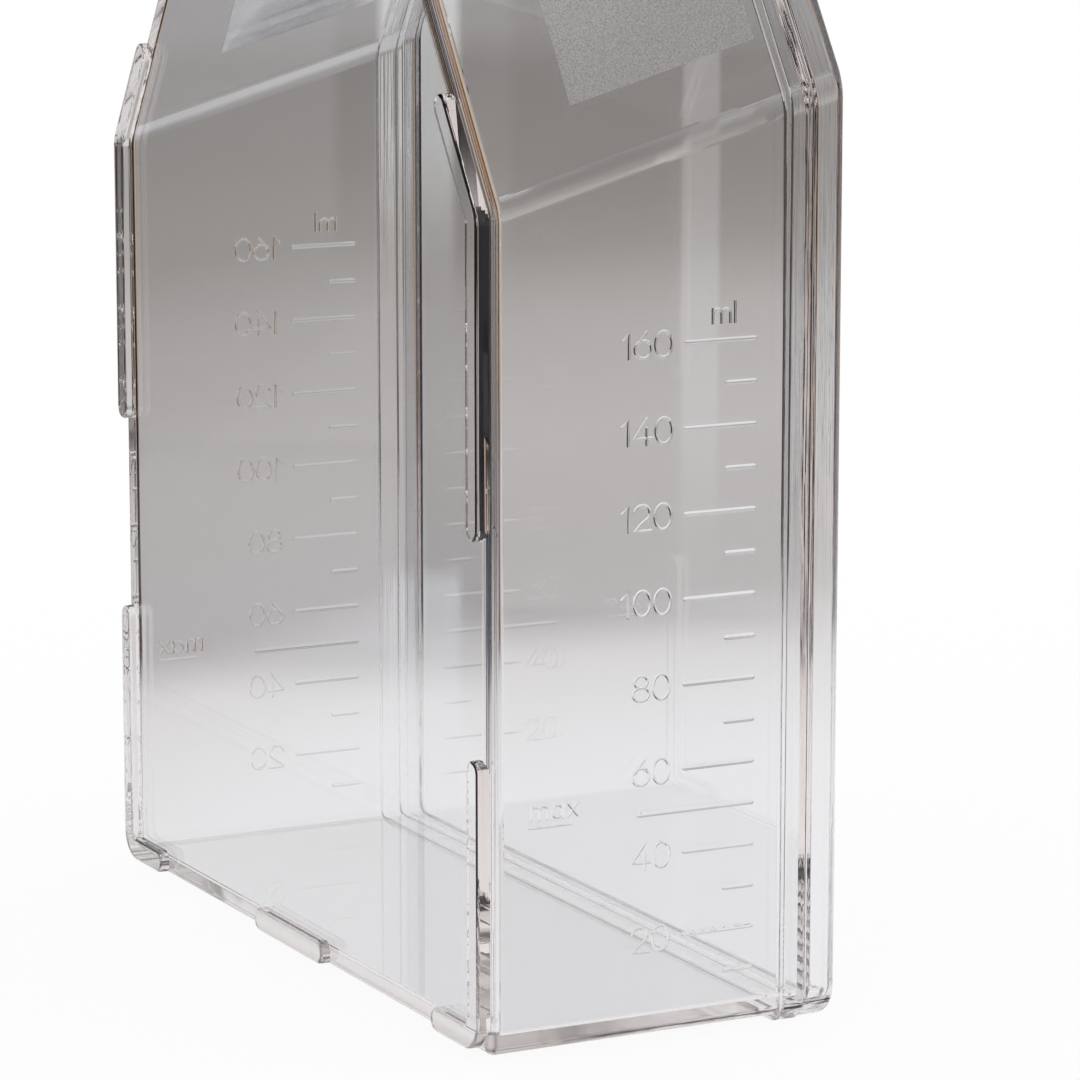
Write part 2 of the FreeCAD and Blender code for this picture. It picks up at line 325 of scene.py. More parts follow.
def round_rows(along, radius, turns):
    """Rows of points round the neck's axis: at each height along, radius * (cos, sin) of each turn.

    radius has one value for each height, or one for each height and turn.
    """
    radius = np.asarray(radius, float)
    radius = np.broadcast_to(radius if radius.ndim == 2 else radius[:, None], (len(along), len(turns)))
    ring = np.cos(turns)[:, None] * NECK_ACROSS + np.sin(turns)[:, None] * NECK_ALONG
    return NECK_BASE + np.asarray(along)[:, None, None] * NECK_AXIS + radius[:, :, None] * ring


def thread(along, turns, offset=0.0):
    """Height of a right-hand thread's crest, from 0 to 1, at each height and turn.

    The distance from the nearest crest's middle is the height less lead * turn / full turn, brought within
    half a pitch. The crest is narrow, its flanks are smooth steps, and it fades in and out at its ends.
    """
    unrolled = along[:, None] - offset - THREAD_LEAD * turns[None, :] / (2 * math.pi)
    crest = THREAD_PITCH * np.round(unrolled / THREAD_PITCH)
    flank = np.clip((THREAD_WIDE / 2 - np.abs(unrolled - crest)) / (0.4 * THREAD_WIDE), 0, 1)
    middle = along[:, None] - unrolled + crest
    fade = (np.clip((middle - THREAD_START) / THREAD_FADE, 0, 1)
            * np.clip((THREAD_END - middle) / THREAD_FADE, 0, 1))
    return flank * flank * (3 - 2 * flank) * fade


def neck_skin():
    """Outside of the neck: a cylinder with a rounded root and mouth, and a thread added to its radius."""
    turns = np.linspace(0, 2 * math.pi, TURN_STEPS + 1)[:-1]
    root = quarter((NECK_ROOT, NECK_RADIUS + NECK_ROOT), NECK_ROOT, 180, 270, 5)
    body = np.linspace(NECK_ROOT, NECK_LENGTH - NECK_EDGE, 95)[1:-1]
    mouth = quarter((NECK_LENGTH - NECK_EDGE, NECK_RADIUS - NECK_EDGE), NECK_EDGE, 90, 0, 6)
    along = np.concatenate([[-WALL / 2], root[:, 0], body, mouth[:, 0]])
    radius = np.concatenate(
        [[NECK_RADIUS + NECK_ROOT], root[:, 1], np.full(len(body), NECK_RADIUS), mouth[:, 1]])
    return closed_stack(round_rows(along, radius[:, None] + THREAD_HIGH * thread(along, turns), turns))


def bore_skin():
    """The neck's bore: a cylinder that widens smoothly at the mouth."""
    turns = np.linspace(0, 2 * math.pi, TURN_STEPS + 1)[:-1]
    lip = quarter((NECK_LENGTH - NECK_EDGE, NECK_BORE + NECK_EDGE), NECK_EDGE, 270, 360, 6)
    along = np.concatenate([[-2 * WALL], lip[:, 0], [NECK_LENGTH + WALL]])
    radius = np.concatenate([[NECK_BORE], lip[:, 1], [NECK_BORE + NECK_EDGE]])
    return closed_stack(round_rows(along, radius, turns))


def rounded_path(points, radius):
    """Points and normals along a path in x and z whose inner corners are arcs of that radius."""
    points = np.asarray(points, float)
    places, normals = [], []
    steps = np.diff(points, axis=0)
    steps /= np.linalg.norm(steps, axis=1)[:, None]
    side = np.stack([-steps[:, 1], steps[:, 0]], axis=1)
    places.append(points[:1])
    normals.append(side[:1])
    for i in range(1, len(points) - 1):
        turn = math.atan2(side[i - 1, 0] * side[i, 1] - side[i - 1, 1] * side[i, 0], side[i - 1] @ side[i])
        sign = math.copysign(1, turn)
        back = radius * math.tan(abs(turn) / 2)
        centre = points[i] - steps[i - 1] * back + side[i - 1] * radius * sign
        count = max(2, int(abs(turn) / math.radians(6)))
        angle = np.linspace(0, turn, count + 1)
        rim = np.stack([side[i - 1, 0] * np.cos(angle) - side[i - 1, 1] * np.sin(angle),
                        side[i - 1, 0] * np.sin(angle) + side[i - 1, 1] * np.cos(angle)], axis=1)
        places.append(centre - rim * radius * sign)
        normals.append(rim)
    places.append(points[-1:])
    normals.append(side[-1:])
    return np.concatenate(places), np.concatenate(normals)


def band_outline(places, normals, half):
    """Closed row round a path: the path pushed to both sides by half, joined by half circles."""
    cap = np.linspace(0, math.pi, 15)[1:-1, None]
    last, first = normals[-1], normals[0]
    ahead = np.array([last[1], -last[0]])
    behind = np.array([-first[1], first[0]])
    stop = places[-1] + half * (last * np.cos(cap) + ahead * np.sin(cap))
    start = places[0] + half * (-first * np.cos(cap) + behind * np.sin(cap))
    return np.concatenate([places + normals * half, stop, (places - normals * half)[::-1], start])


def ridge_skin(points):
    """A stacking ridge: the band round its path, stacked from inside the wall up to its rounded top edge."""
    places, normals = rounded_path(points, RIDGE_CORNER - RIDGE_WIDE / 2)
    top = quarter((RIDGE_WIDE / 2 - RIDGE_EDGE, -RIDGE_HIGH + RIDGE_EDGE), RIDGE_EDGE, 0, -90, 8)
    profile = np.concatenate([[[RIDGE_WIDE / 2 + 0.05, WALL / 2]], top])
    rows = []
    for half, y in profile:
        row = band_outline(places, normals, half)
        rows.append(np.stack([row[:, 0], np.full(len(row), y), row[:, 1]], axis=1))
    return closed_stack(np.stack(rows))


def ridge_skins():
    """Five ridges along the edge of the large face, alike on both sides."""
    inset = RIDGE_INSET + RIDGE_WIDE / 2
    side, end = HALF_WIDTH - inset, RIDGE_WIDE / 2
    bend = BEND_HEIGHT - inset * math.tan(SHOULDER / 2)
    rise = RIDGE_HIGH_TOP - end - bend
    low = np.array([(side, RIDGE_LOW_TOP - end), (side, inset), (RIDGE_LEG_END + end, inset)])
    high = np.array([(side, RIDGE_HIGH_BOTTOM + end), (side, bend),
                     (side - rise * math.tan(SHOULDER), bend + rise)])
    middle = RIDGE_MIDDLE_HALF - end
    paths = [[(middle, inset), (-middle, inset)]]
    for path in (low, high[::-1]):
        paths += [path, (path * [-1, 1])[::-1]]
    return [ridge_skin(path) for path in paths]


def bead(places, wide, high, closed=False):
    """A raised bead along a path on a wall, as points of along, up and out of the wall, with its faces.

    Its section, square to the path, rises as high * (1 + cos(pi * u)) / 2 over u from -1 to 1 and has its
    root in the wall. At the ends of an open path it shrinks as sqrt(1 - t * t), so that the bead ends round.
    """
    places = np.asarray(places, float)
    if closed:
        steps = np.roll(places, -1, axis=0) - np.roll(places, 1, axis=0)
        size = np.ones(len(places))
    else:
        first, last = places[0] - places[1], places[-1] - places[-2]
        first, last = (v / np.linalg.norm(v) * wide / 2 for v in (first, last))
        t = np.array([0.999, 0.9, 0.7, 0.4])[:, None]
        places = np.concatenate([places[0] + first * t, places, places[-1] + last * t[::-1]])
        steps = np.gradient(places, axis=0)
        size = np.ones(len(places))
        size[:4] = np.sqrt(1 - t[:, 0] ** 2)
        size[-4:] = size[:4][::-1]
    side = np.stack([-steps[:, 1], steps[:, 0]], axis=1)
    side /= np.linalg.norm(side, axis=1)[:, None]
    share = np.concatenate([np.linspace(1, -1, 13), [-1, 1]])
    across = side[:, None, :] * (share * wide / 2)[None, :, None] * size[:, None, None]
    out = high * size[:, None] * (1 + np.cos(math.pi * share)) / 2 - BEAD_SINK
    out[:, 13:] = -BEAD_ROOT
    points = np.concatenate([places[:, None, :] + across, out[:, :, None]], axis=-1)
    if closed:
        return points.reshape(-1, 3), grid_faces(len(places), len(share), round_rows=True)
    return closed_stack(points)


def arc(centre, radii, start, stop, steps=12):
    """Points of an elliptical arc, from the angle start to stop in degrees."""
    turn = np.radians(np.linspace(start, stop, steps + 1))
    return np.stack([centre[0] + radii[0] * np.cos(turn), centre[1] + radii[1] * np.sin(turn)], axis=1)


def glyph(sign):
    """Strokes of one sign, each a path and whether it closes, in a box one unit high, and its width."""
    ring = arc((0.36, 0.5), (0.36, 0.5), 0, 345, 23)
    if sign == "0":
        return [(ring, True)], 0.72
    if sign == "1":
        return [([(0.0, 0.72), (0.28, 1.0), (0.28, 0.5), (0.28, 0.0)], False)], 0.36
    if sign == "2":
        top = arc((0.34, 0.68), (0.34, 0.32), 165, -35, 12)
        return [(np.concatenate([top, [(0.3, 0.28), (0.0, 0.0), (0.35, 0.0), (0.72, 0.0)]]), False)], 0.72
    if sign == "4":
        return [([(0.56, 1.0), (0.28, 0.62), (0.0, 0.25), (0.4, 0.25), (0.78, 0.25)], False),
                ([(0.56, 0.62), (0.56, 0.3), (0.56, 0.0)], False)], 0.78
    if sign == "6":
        bowl = arc((0.36, 0.34), (0.36, 0.34), 0, 345, 23)
        return [([(0.5, 1.0), (0.3, 0.76), (0.1, 0.5)], False), (bowl, True)], 0.72
    if sign == "8":
        lower = arc((0.36, 0.27), (0.36, 0.27), 0, 340, 17)
        upper = arc((0.36, 0.76), (0.28, 0.24), 0, 340, 17)
        return [(lower, True), (upper, True)], 0.72
    if sign == "m":
        first = np.concatenate([arc((0.24, 0.42), (0.24, 0.26), 175, 0, 8), [(0.48, 0.2), (0.48, 0.0)]])
        second = np.concatenate([arc((0.72, 0.42), (0.24, 0.26), 160, 0, 8), [(0.96, 0.2), (0.96, 0.0)]])
        return [([(0.0, 0.7), (0.0, 0.35), (0.0, 0.0)], False), (first, False), (second, False)], 0.96
    if sign == "a":
        bowl = arc((0.3, 0.33), (0.3, 0.33), 0, 345, 17)
        return [(bowl, True), ([(0.64, 0.68), (0.64, 0.3), (0.64, 0.0)], False)], 0.64
    if sign == "x":
        return [([(0.0, 0.68), (0.27, 0.34), (0.54, 0.0)], False),
                ([(0.54, 0.68), (0.27, 0.34), (0.0, 0.0)], False)], 0.54
    return [([(0.0, 1.0), (0.0, 0.5), (0.0, 0.0)], False)], 0.0


def label(text, middle, low, high, gap, layers):
    """Adds the beads of a text round its middle to layers, crossing strokes to different layers."""
    signs = [glyph(sign) for sign in text]
    start = -(sum(width for _, width in signs) * high + gap * (len(signs) - 1)) / 2
    for strokes, width in signs:
        for k, (path, closed) in enumerate(strokes):
            places = np.asarray(path, float) * high + [start, low]
            layers[k].append((bead(places, STROKE_WIDE, STROKE_HIGH, closed), middle))
        start += width * high + gap


def bar(start, stop, height, wide, high, layers):
    """Adds a straight level bead from start to stop to the first layer."""
    half = (stop - start - wide) / 2
    path = np.stack([np.linspace(-half, half, 3), np.full(3, height)], axis=1)
    layers[0].append((bead(path, wide, high), (start + stop) / 2))


def scale_layers():
    """The volume scale as beads on a wall: a bar for each 10 ml, numbers, "ml" and "max"."""
    layers = [[], [], []]
    for step in range(1, SCALE_BARS + 1):
        z = SCALE_ZERO + SCALE_STEP * step
        start = SHORT_BAR_START if step % 2 else LONG_BAR_START
        bar(MAX_BAR_START if step == MAX_FILL_BAR else start, BAR_END, z, BAR_WIDE, BAR_HIGH, layers)
        if step % 2 == 0:
            text = str(10 * step)
            label(text, NUMBER_MIDDLE[len(text)], z - DIGIT_HIGH / 2, DIGIT_HIGH, SIGN_GAP, layers)
    label("ml", *ML_SIGN, LETTER_GAP, layers)
    label("max", *MAX_SIGN, LETTER_GAP, layers)
    bar(*MAX_LINE, SCALE_ZERO + SCALE_STEP * MAX_FILL_BAR, STROKE_WIDE, STROKE_HIGH, layers)
    return layers


def rib_skin():
    """Outside of the cap: a cylinder with rounded ends whose radius rises by smooth ribs.

    A rib's height is a smooth step of cos(count * turn), and it fades out at both ends over a short run.
    """
    turns = np.linspace(0, 2 * math.pi, RIB_COUNT * 10 + 1)[:-1]
    top = CAP_INSIDE_TOP + CAP_TOP_THICK
    root = CAP_RADIUS - RIB_OUT / 6
    low = quarter((CAP_START + CAP_EDGE, root - CAP_EDGE), CAP_EDGE, 180, 90, 5)
    high = quarter((top - CAP_EDGE, root - CAP_EDGE), CAP_EDGE, 90, 0, 6)
    body = np.concatenate([
        np.linspace(CAP_START + CAP_EDGE, CAP_START + RIB_MARGIN + 0.6, 7)[1:],
        np.linspace(CAP_START + RIB_MARGIN + 0.6, top - RIB_MARGIN - 0.6, 8)[1:],
        np.linspace(top - RIB_MARGIN - 0.6, top - CAP_EDGE, 7)[1:-1],
    ])
    along = np.concatenate([low[:, 0], body, high[:, 0]])
    radius = np.concatenate([low[:, 1], np.full(len(body), root), high[:, 1]])
    crest = np.clip(0.5 + 0.95 * np.cos(RIB_COUNT * turns), 0, 1)
    crest = crest * crest * (3 - 2 * crest)
    reach = np.minimum(along - CAP_START - 0.6 * RIB_MARGIN, top - 0.6 * RIB_MARGIN - along)
    fade = np.sqrt(1 - (1 - np.clip(reach / 0.7, 0, 1)) ** 2)
    return closed_stack(round_rows(along, radius[:, None] + RIB_OUT * fade[:, None] * crest, turns))


def cap_hollow_skin():
    """Inside of the cap: a cylinder whose radius loses a thread that lies between the neck's turns."""
    turns = np.linspace(0, 2 * math.pi, TURN_STEPS + 1)[:-1]
    along = np.concatenate([[CAP_START - 1, CAP_START], np.linspace(CAP_START + 0.3, CAP_INSIDE_TOP, 90)])
    crest = thread(along, turns, THREAD_PITCH / 2)
    radius = np.full(len(along), CAP_BORE)
    radius[:2] += 0.3
    return closed_stack(round_rows(along, radius[:, None] - THREAD_HIGH * crest, turns))


def vent_skins():
    """Round vents through the cap's top: one in the middle and six about it."""
    turns = np.linspace(0, 2 * math.pi, VENT_STEPS + 1)[:-1]
    top = CAP_INSIDE_TOP + CAP_TOP_THICK
    along = np.array([CAP_INSIDE_TOP - 0.5, top - VENT_EDGE, top - 0.12, top - 0.04, top, top + 1])
    radius = VENT_RADIUS + np.array([0.0, 0.0, 0.04, 0.12, VENT_EDGE, VENT_EDGE])
    hole, faces = closed_stack(round_rows(along, radius, turns))
    around = np.arange(VENT_COUNT) * 2 * math.pi / VENT_COUNT
    places = [(0.0, 0.0)] + [(math.cos(a), math.sin(a)) for a in around]
    return [(hole + VENT_CIRCLE * (a * NECK_ACROSS + b * NECK_ALONG), faces) for a, b in places]


# Meshes

def joined(skins):
    """Several skins as one list of points and faces."""
    points, faces, first = [], [], 0
    for skin_points, skin_faces in skins:
        points.append(np.asarray(skin_points))
        faces += [[k + first for k in face] for face in skin_faces]
        first += len(skin_points)
    return np.concatenate(points), faces


def piece(name, skin):
    """A mesh object at its place in the flask, in metres, turned outwards by the sign of its volume."""
    points, faces = skin
    mesh = bpy.data.meshes.new(name)
    mesh.from_pydata(((points + SHIFT) * MM).tolist(), [], faces)
    corners = np.zeros(len(mesh.vertices) * 3)
    mesh.vertices.foreach_get("co", corners)
    corners = corners.reshape(-1, 3)
    mesh.calc_loop_triangles()
    triangles = np.zeros(len(mesh.loop_triangles) * 3, np.int32)
    mesh.loop_triangles.foreach_get("vertices", triangles)
    a, b, c = (corners[triangles[k::3]] for k in range(3))
    if np.einsum("ij,ij->i", a, np.cross(b, c)).sum() < 0:
        mesh.flip_normals()
    mesh.update()
    thing = bpy.data.objects.new(name, mesh)
    bpy.context.scene.collection.objects.link(thing)
    return thing


def combined(thing, other, operation):
    """Adds, or takes away, the other solid, and removes it."""
    change = thing.modifiers.new("cut", "BOOLEAN")
    change.object, change.operation, change.solver = other, operation, "MANIFOLD"
    bpy.context.view_layer.update()
    made = bpy.data.meshes.new_from_object(thing.evaluated_get(bpy.context.evaluated_depsgraph_get()))
    thing.modifiers.clear()
    thing.data = made
    bpy.data.objects.remove(other)


def on_wall(skin, middle, side):
    """Beads given as along, up and out of a wall, laid on that side's narrow wall to read from outside."""
    points, faces = skin
    along, up, out = np.asarray(points).T
    return np.stack([side * (HALF_WIDTH + out), middle + side * along, up], axis=1), faces


# Materials

def colour(code):
    """Linear colour of an sRGB hex value."""
    parts = [int(code[k:k + 2], 16) / 255 for k in (1, 3, 5)]
    return [c / 12.92 if c <= 0.04045 else ((c + 0.055) / 1.055) ** 2.4 for c in parts] + [1.0]


def add(tree, kind, inputs=None, **settings):
    """Adds a node with its settings; an input is a value, or a socket that is linked to it."""
    made = tree.nodes.new(kind)
    for name, value in settings.items():
        setattr(made, name, value)
    for name, value in (inputs or {}).items():
        if isinstance(value, bpy.types.NodeSocket):
            tree.links.new(value, made.inputs[name])
        else:
            made.inputs[name].default_value = value
    return made


def new_material(name):
    """An empty node material and its tree."""
    made = bpy.data.materials.new(name)
    made.use_nodes = True
    made.node_tree.nodes.clear()
    return made, made.node_tree


def linear(tree, place, weights, offset=0.0):
    """Socket with x, y and z of place weighted and added up, less offset."""
    total = add(tree, "ShaderNodeVectorMath", {0: place, 1: weights}, operation="DOT_PRODUCT")
    return maths(tree, "SUBTRACT", total.outputs["Value"], offset)


def maths(tree, operation, *values):
    """Socket with the result of a Math node."""
    return add(tree, "ShaderNodeMath", dict(enumerate(values)), operation=operation).outputs[0]


def rising(tree, value, low, high):
    """Socket that goes smoothly from 0 to 1 as value goes from low to high."""
    return add(tree, "ShaderNodeMapRange", {"Value": value, "From Min": low, "From Max": high},
               interpolation_type="SMOOTHSTEP").outputs["Result"]


def within(tree, value, low, high, soft):
    """Socket that is 1 between low and high and falls smoothly to 0 over soft outside them."""
    return maths(tree, "MULTIPLY", rising(tree, value, low - soft, low),
                 rising(tree, value, high + soft, high))


def ramp(tree, value, stops):
    """Socket with the colour for value, from stops of value and colour in rising order."""
    low, high = stops[0][0], stops[-1][0]
    span = add(tree, "ShaderNodeMapRange", {"Value": value, "From Min": low, "From Max": high})
    made = add(tree, "ShaderNodeValToRGB", {"Fac": span.outputs["Result"]})
    elements = made.color_ramp.elements
    while len(elements) < len(stops):
        elements.new(0.5)
    for element, (position, code) in zip(elements, stops):
        element.position, element.color = (position - low) / (high - low), colour(code)
    return made.outputs["Color"]


def clear_surface(tree, roughness, scale, grain, high, dark="#fdfdfe"):
    """Shader of a clear polystyrene surface.

    It is uneven by a noise over the place times scale, high metres deep, and where the noise is low it lets
    through the colour dark.
    """
    place = add(tree, "ShaderNodeTexCoord").outputs["Object"]
    place = add(tree, "ShaderNodeVectorMath", {0: place, 1: scale}, operation="MULTIPLY").outputs["Vector"]
    waves = add(tree, "ShaderNodeTexNoise", {"Vector": place, "Scale": 1.0, "Detail": grain}).outputs["Fac"]
    bump = add(tree, "ShaderNodeBump", {"Strength": 1.0, "Distance": high, "Height": waves})
    return add(tree, "ShaderNodeBsdfPrincipled", {
        "Base Color": ramp(tree, waves, [(0.35, dark), (0.65, "#fdfdfe")]), "Roughness": roughness,
        "IOR": POLYSTYRENE_IOR, "Transmission Weight": 1.0, "Normal": bump.outputs["Normal"]}).outputs[0]


def clear_polystyrene():
    """Injection-moulded general purpose polystyrene, glass-clear, with a finish that follows the tool.

    The walls are polished with faint flow waves. The weld draws fine streaks round the rim, the lower edges
    that slide over benches are a little worn, and the writing fields are spark-eroded in the mould, which
    frosts them. Light for other surfaces passes straight through, as it does through thin clear walls, and a
    long way through the plastic dims and warms what its edges show.
    """
    made, tree = new_material("clear_polystyrene")
    shown = clear_surface(tree, 0.0, (90, 90, 90), 0.0, 0.0000005)
    for finish, surface in (("rim", (0.02, (60, 3500, 60), 2.0, 0.000012)),
                            ("edge", (0.08, (500, 500, 500), 0.0, 0.000002)),
                            ("frosted", (0.28, (6500, 6500, 6500), 1.0, 0.00001, "#b4b4b0"))):
        share = add(tree, "ShaderNodeAttribute", attribute_name=finish).outputs["Fac"]
        finished_part = clear_surface(tree, *surface)
        shown = add(tree, "ShaderNodeMixShader", {0: share, 1: shown, 2: finished_part}).outputs[0]
    light = add(tree, "ShaderNodeLightPath").outputs
    passing = add(tree, "ShaderNodeBsdfTransparent", {"Color": colour("#fefefe")})
    unseen = maths(tree, "MAXIMUM", light["Is Shadow Ray"], light["Is Diffuse Ray"])
    mix = add(tree, "ShaderNodeMixShader", {0: unseen, 1: shown, 2: passing.outputs[0]})
    depth = add(tree, "ShaderNodeVolumeAbsorption", {"Color": (0.75, 0.35, 0.2, 1.0), "Density": 2.2})
    add(tree, "ShaderNodeOutputMaterial", {"Surface": mix.outputs[0], "Volume": depth.outputs[0]})
    return made


def mark_finishes(flask):
    """Marks the faces that lie on the rim, on the lower edges, and on the writing fields."""
    count = len(flask.data.polygons)
    centres, normals = np.zeros(3 * count), np.zeros(3 * count)
    flask.data.polygons.foreach_get("center", centres)
    flask.data.polygons.foreach_get("normal", normals)
    x, y, z = (centres.reshape(-1, 3) / MM - SHIFT).T
    x, tilt = np.abs(x), np.abs(normals.reshape(-1, 3)[:, [0, 2]]).min(axis=1)
    height = z - SLOPE * y
    past_shoulder = (x - HALF_WIDTH) * math.cos(SHOULDER) + (height - BEND_HEIGHT) * math.sin(SHOULDER)
    past = np.maximum.reduce([x - HALF_WIDTH, past_shoulder, -z, height - END_HEIGHT])
    below_neck = height < END_HEIGHT + 2
    rim = below_neck & (past > -0.6) & (y > WALL_DEPTH - ROOT_FILLET)
    in_field = (y > FIELD_NEAR) & (y < FIELD_FAR) & (height < END_HEIGHT - 2)
    frosted = (past_shoulder > FIELD_RAISED / 2) & in_field
    edge = (z < 3) & (past > -2.6) & ((y < OUTER_FILLET) | (tilt > 0.1) | (np.abs(z) < 0.1)) & ~rim
    for name, marked in (("rim", rim), ("edge", edge), ("frosted", frosted)):
        flask.data.attributes.new(name, "FLOAT", "FACE").data.foreach_set("value", marked.astype(np.float32))


def moulded_plastic(name, code, streak, polished, dull):
    """Injection-moulded polyethylene: soft gloss, fine moulding grain, pigment streaked a little by the flow.

    The pigment runs from code to streak, and the roughness from polished to dull where hands rub it.
    """
    made, tree = new_material(name)
    place = add(tree, "ShaderNodeTexCoord").outputs["Object"]
    along = add(tree, "ShaderNodeVectorMath", {0: place, 1: (160, 160, 40)}, operation="MULTIPLY")
    flow = add(tree, "ShaderNodeTexNoise", {
        "Vector": along.outputs["Vector"], "Scale": 1.0, "Detail": 3.0}).outputs["Fac"]
    rubbed = add(tree, "ShaderNodeTexNoise", {"Vector": place, "Scale": 400.0, "Detail": 4.0}).outputs["Fac"]
    rough = add(tree, "ShaderNodeMapRange", {
        "Value": rubbed, "From Min": 0.3, "From Max": 0.7, "To Min": polished, "To Max": dull})
    grain = add(tree, "ShaderNodeTexNoise", {"Vector": place, "Scale": 2500.0, "Detail": 2.0})
    bump = add(tree, "ShaderNodeBump", {"Strength": 0.3, "Distance": 0.00002, "Height": grain.outputs["Fac"]})
    body = add(tree, "ShaderNodeBsdfPrincipled", {
        "Base Color": ramp(tree, flow, [(0.3, code), (0.7, streak)]), "Roughness": rough.outputs["Result"],
        "IOR": POLYETHYLENE_IOR, "Normal": bump.outputs["Normal"]})
    add(tree, "ShaderNodeOutputMaterial", {"Surface": body.outputs[0]})
    return made


def finished(thing, material):
    """Gives the whole object one material."""
    thing.data.materials.clear()
    thing.data.materials.append(material)


# The flask

def build_flask():
    """One clear skin round tray, neck, ridges, scale and cover, which the weld makes one piece of plastic."""
    flask = piece("flask_shell", outside_skin())
    combined(flask, piece("neck", neck_skin()), "UNION")
    combined(flask, piece("ridges", joined(ridge_skins())), "UNION")
    for layer in scale_layers():
        for side in (1, -1):
            combined(flask, piece("beads", joined([on_wall(*bead, side) for bead in layer])), "UNION")
    combined(flask, piece("fields", joined([field_skin(1), field_skin(-1)])), "UNION")
    combined(flask, piece("chamber", chamber_skin()), "DIFFERENCE")
    combined(flask, piece("bore", bore_skin()), "DIFFERENCE")
    finished(flask, clear_polystyrene())
    mark_finishes(flask)
    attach(flask, "flask")
    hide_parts("flask_body", "cover_plate")
    return flask


def build_cap():
    """The ribbed cap with its inner thread and vents."""
    cap = piece("vented_cap", rib_skin())
    combined(cap, piece("hollow", cap_hollow_skin()), "DIFFERENCE")
    combined(cap, piece("vents", joined(vent_skins())), "DIFFERENCE")
    finished(cap, moulded_plastic("cap_polyethylene", "#2b6aa9", "#3474b3", 0.3, 0.42))
    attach(cap, "cap")
    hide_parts("screw_cap")
    return cap


flask = build_flask()
cap = build_cap()
for node_name, code, streak in (("sealing_ring", "#e6e7e7", "#ecedec"),
                                ("filter_membrane", "#f1f1ee", "#f6f6f4")):
    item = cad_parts[node_name]
    finished(item, moulded_plastic(node_name, code, streak, 0.45, 0.6))


# Floor, light and camera

def seen_through(tree):
    """Socket that is 1 where the plastic shows its painted surroundings, and 0 for the camera and for light.
    """
    light = add(tree, "ShaderNodeLightPath").outputs
    seen = maths(tree, "MAXIMUM", light["Is Glossy Ray"], light["Is Transmission Ray"])
    return maths(tree, "MULTIPLY", seen, maths(tree, "LESS_THAN", light["Diffuse Depth"], 0.5))


def bent_line(tree, value, points):
    """Socket with the height, over value, of the line through points."""
    total = points[0][1]
    for (start, low), (stop, high) in zip(points, points[1:]):
        step = add(tree, "ShaderNodeMapRange", {"Value": value, "From Min": start, "From Max": stop,
                                                "To Max": high - low}).outputs["Result"]
        total = maths(tree, "ADD", step, total)
    return total


def mixed(tree, share, first, second):
    """Socket with the mix of two colours."""
    return add(tree, "ShaderNodeMix", {0: share, 6: first, 7: second}, data_type="RGBA").outputs[2]


def sideways(tree, place):
    """Sockets for how far place lies towards the painted curtain, and how far beside that, both from -1 to 1.
    """
    flat = add(tree, "ShaderNodeVectorMath", {0: place, 1: (1, 1, 0)}, operation="MULTIPLY").outputs["Vector"]
    flat = add(tree, "ShaderNodeVectorMath", {0: flat}, operation="NORMALIZE").outputs["Vector"]
    return (linear(tree, flat, (PAINTED_CURTAIN_SIDE[0], PAINTED_CURTAIN_SIDE[1], 0)),
            linear(tree, flat, (-PAINTED_CURTAIN_SIDE[1], PAINTED_CURTAIN_SIDE[0], 0)))


def with_painted_curtain(tree, place, room, share=1.0):
    """Socket with the colour of a painted dark curtain beside the table, where place lies that way, or of the
    room; only the plastic shows it, as painted shade with orange and blue fringes in its edges.
    """
    towards, aside = sideways(tree, place)
    there = maths(tree, "MULTIPLY", rising(tree, towards, 0.8, 0.86), share)
    return mixed(tree, there, room, ramp(tree, aside, PAINTED_CURTAIN_TONES))


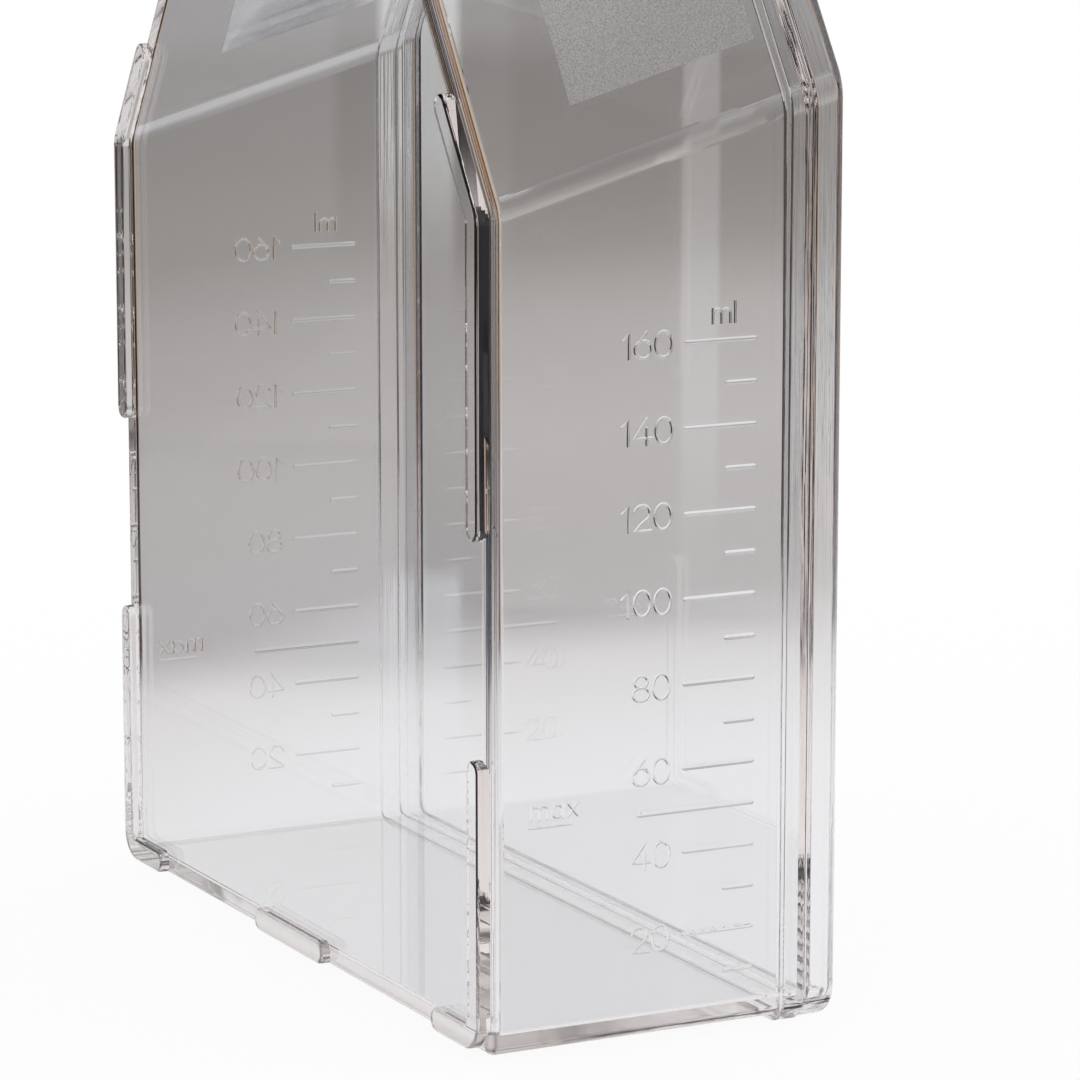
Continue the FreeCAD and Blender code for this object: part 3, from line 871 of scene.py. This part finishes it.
def build_floor():
    """A plain white floor.

    To the plastic alone it is painted as a lit table in a grey room, as painted reflections: white round the
    flask, grey behind it in bands that run away from the viewer, with a painted dark curtain on one side that
    puts painted shade into its edges.
    """
    mesh = bpy.data.meshes.new("floor")
    mesh.from_pydata([(-8, -8, 0), (8, -8, 0), (8, 8, 0), (-8, 8, 0)], [], [(0, 1, 2, 3)])
    floor = bpy.data.objects.new("floor", mesh)
    bpy.context.scene.collection.objects.link(floor)
    made, tree = new_material("floor_with_painted_reflections")
    place = add(tree, "ShaderNodeTexCoord").outputs["Object"]
    behind = linear(tree, place, (-FLOOR_SIDE[1], FLOOR_SIDE[0], 0))
    across = linear(tree, place, (FLOOR_SIDE[0], FLOOR_SIDE[1], 0), FLOOR_MIDDLE)
    length = add(tree, "ShaderNodeVectorMath", {0: place}, operation="LENGTH").outputs["Value"]
    column = maths(tree, "DIVIDE", across, maths(tree, "ADD", behind, VIEWER_BACK))
    level = maths(tree, "ADD", length, bent_line(tree, column, FLOOR_SHIFT))
    # Painted reflections: the grey room that only the plastic shows, by distance from the flask.
    room = ramp(tree, level, PAINTED_FLOOR_TONES)
    beside = rising(tree, maths(tree, "ABSOLUTE", column), 0.13, 0.2)
    beside = maths(tree, "MULTIPLY", beside, rising(tree, length, 0.19, 0.3))
    room = mixed(tree, beside, room, colour("#8f8b88"))
    # Painted reflections: the bands painted on the floor for the plastic alone.
    for low, high, soft, near, far, share, code in PAINTED_FLOOR_BANDS:
        band = maths(tree, "MULTIPLY", within(tree, column, low, high, soft), rising(tree, length, near, far))
        room = mixed(tree, maths(tree, "MULTIPLY", band, share), room, colour(code))
    towards, aside = sideways(tree, place)
    # A beige board painted on the floor, seen only in the plastic as a painted reflection.
    painted_board = maths(tree, "MULTIPLY", within(tree, aside, -0.655, -0.5, 0.03), rising(tree, towards, 0.5, 0.6))
    painted_board = maths(tree, "MULTIPLY", painted_board, rising(tree, length, 0.3, 0.4))
    room = mixed(tree, painted_board, room, colour("#cdb79d"))
    # The painted dark curtain near the flask, seen only in the plastic as painted shade in its edges.
    room = with_painted_curtain(tree, place, room, rising(tree, length, 0.125, 0.16))
    plain = add(tree, "ShaderNodeBsdfDiffuse", {"Color": colour("#ffffff")})
    # The camera sees the plain white floor; the plastic sees the painted surroundings.
    table = add(tree, "ShaderNodeBsdfDiffuse", {"Color": room})
    mix = add(tree, "ShaderNodeMixShader", {
        0: seen_through(tree), 1: plain.outputs[0], 2: table.outputs[0]})
    add(tree, "ShaderNodeOutputMaterial", {"Surface": mix.outputs[0]})
    floor.data.materials.append(made)


def build_world():
    """Even white light. To the plastic alone it is painted as a room, white overhead and darker towards the
    sides: painted reflections that give its rims painted highlights and its edges painted shade.
    """
    world = bpy.data.worlds.new("studio")
    bpy.context.scene.world = world
    world.use_nodes = True
    tree = world.node_tree
    tree.nodes.clear()
    direction = add(tree, "ShaderNodeTexCoord").outputs["Generated"]
    # Painted sky that only the plastic shows: grey at the sides, white overhead, as painted reflections.
    sides = ramp(tree, linear(tree, direction, (0, 0, 1)), PAINTED_SKY_TONES)
    behind = rising(tree, linear(tree, direction, (-FLOOR_SIDE[1], FLOOR_SIDE[0], 0)), 0.8, 0.9)
    tone = mixed(tree, behind, sides, colour("#d2d1d1"))
    # The painted dark curtain, as painted shade in the plastic's edges.
    tone = with_painted_curtain(tree, direction, tone)
    room = add(tree, "ShaderNodeBackground", {"Color": tone, "Strength": 1.0})
    plain = add(tree, "ShaderNodeBackground", {"Color": colour("#ffffff"), "Strength": 1.0})
    mix = add(tree, "ShaderNodeMixShader", {0: seen_through(tree), 1: plain.outputs[0], 2: room.outputs[0]})
    add(tree, "ShaderNodeOutputWorld", {"Surface": mix.outputs[0]})


def build_camera():
    """A long lens level with the middle of the flask, turned towards its near narrow wall."""
    camera = bpy.data.objects.new("camera", bpy.data.cameras.new("camera"))
    bpy.context.scene.collection.objects.link(camera)
    level = math.cos(CAMERA_ELEVATION)
    back = Vector((math.sin(CAMERA_AZIMUTH) * level, -math.cos(CAMERA_AZIMUTH) * level,
                   math.sin(CAMERA_ELEVATION)))
    camera.location = Vector(CAMERA_PLACE) * MM
    camera.rotation_mode = "QUATERNION"
    camera.rotation_quaternion = (-back).to_track_quat("-Z", "Y")
    camera.data.lens = CAMERA_LENS
    camera.data.sensor_width = CAMERA_SENSOR
    bpy.context.scene.camera = camera


build_floor()
build_world()
build_camera()
scene = bpy.context.scene
scene.view_settings.view_transform = "Standard"
scene.cycles.max_bounces = LIGHT_BOUNCES
scene.cycles.transmission_bounces = LIGHT_BOUNCES
scene.cycles.glossy_bounces = LIGHT_BOUNCES
scene.cycles.diffuse_bounces = 1
scene.cycles.transparent_max_bounces = 16
scene.cycles.caustics_refractive = False
scene.cycles.caustics_reflective = False
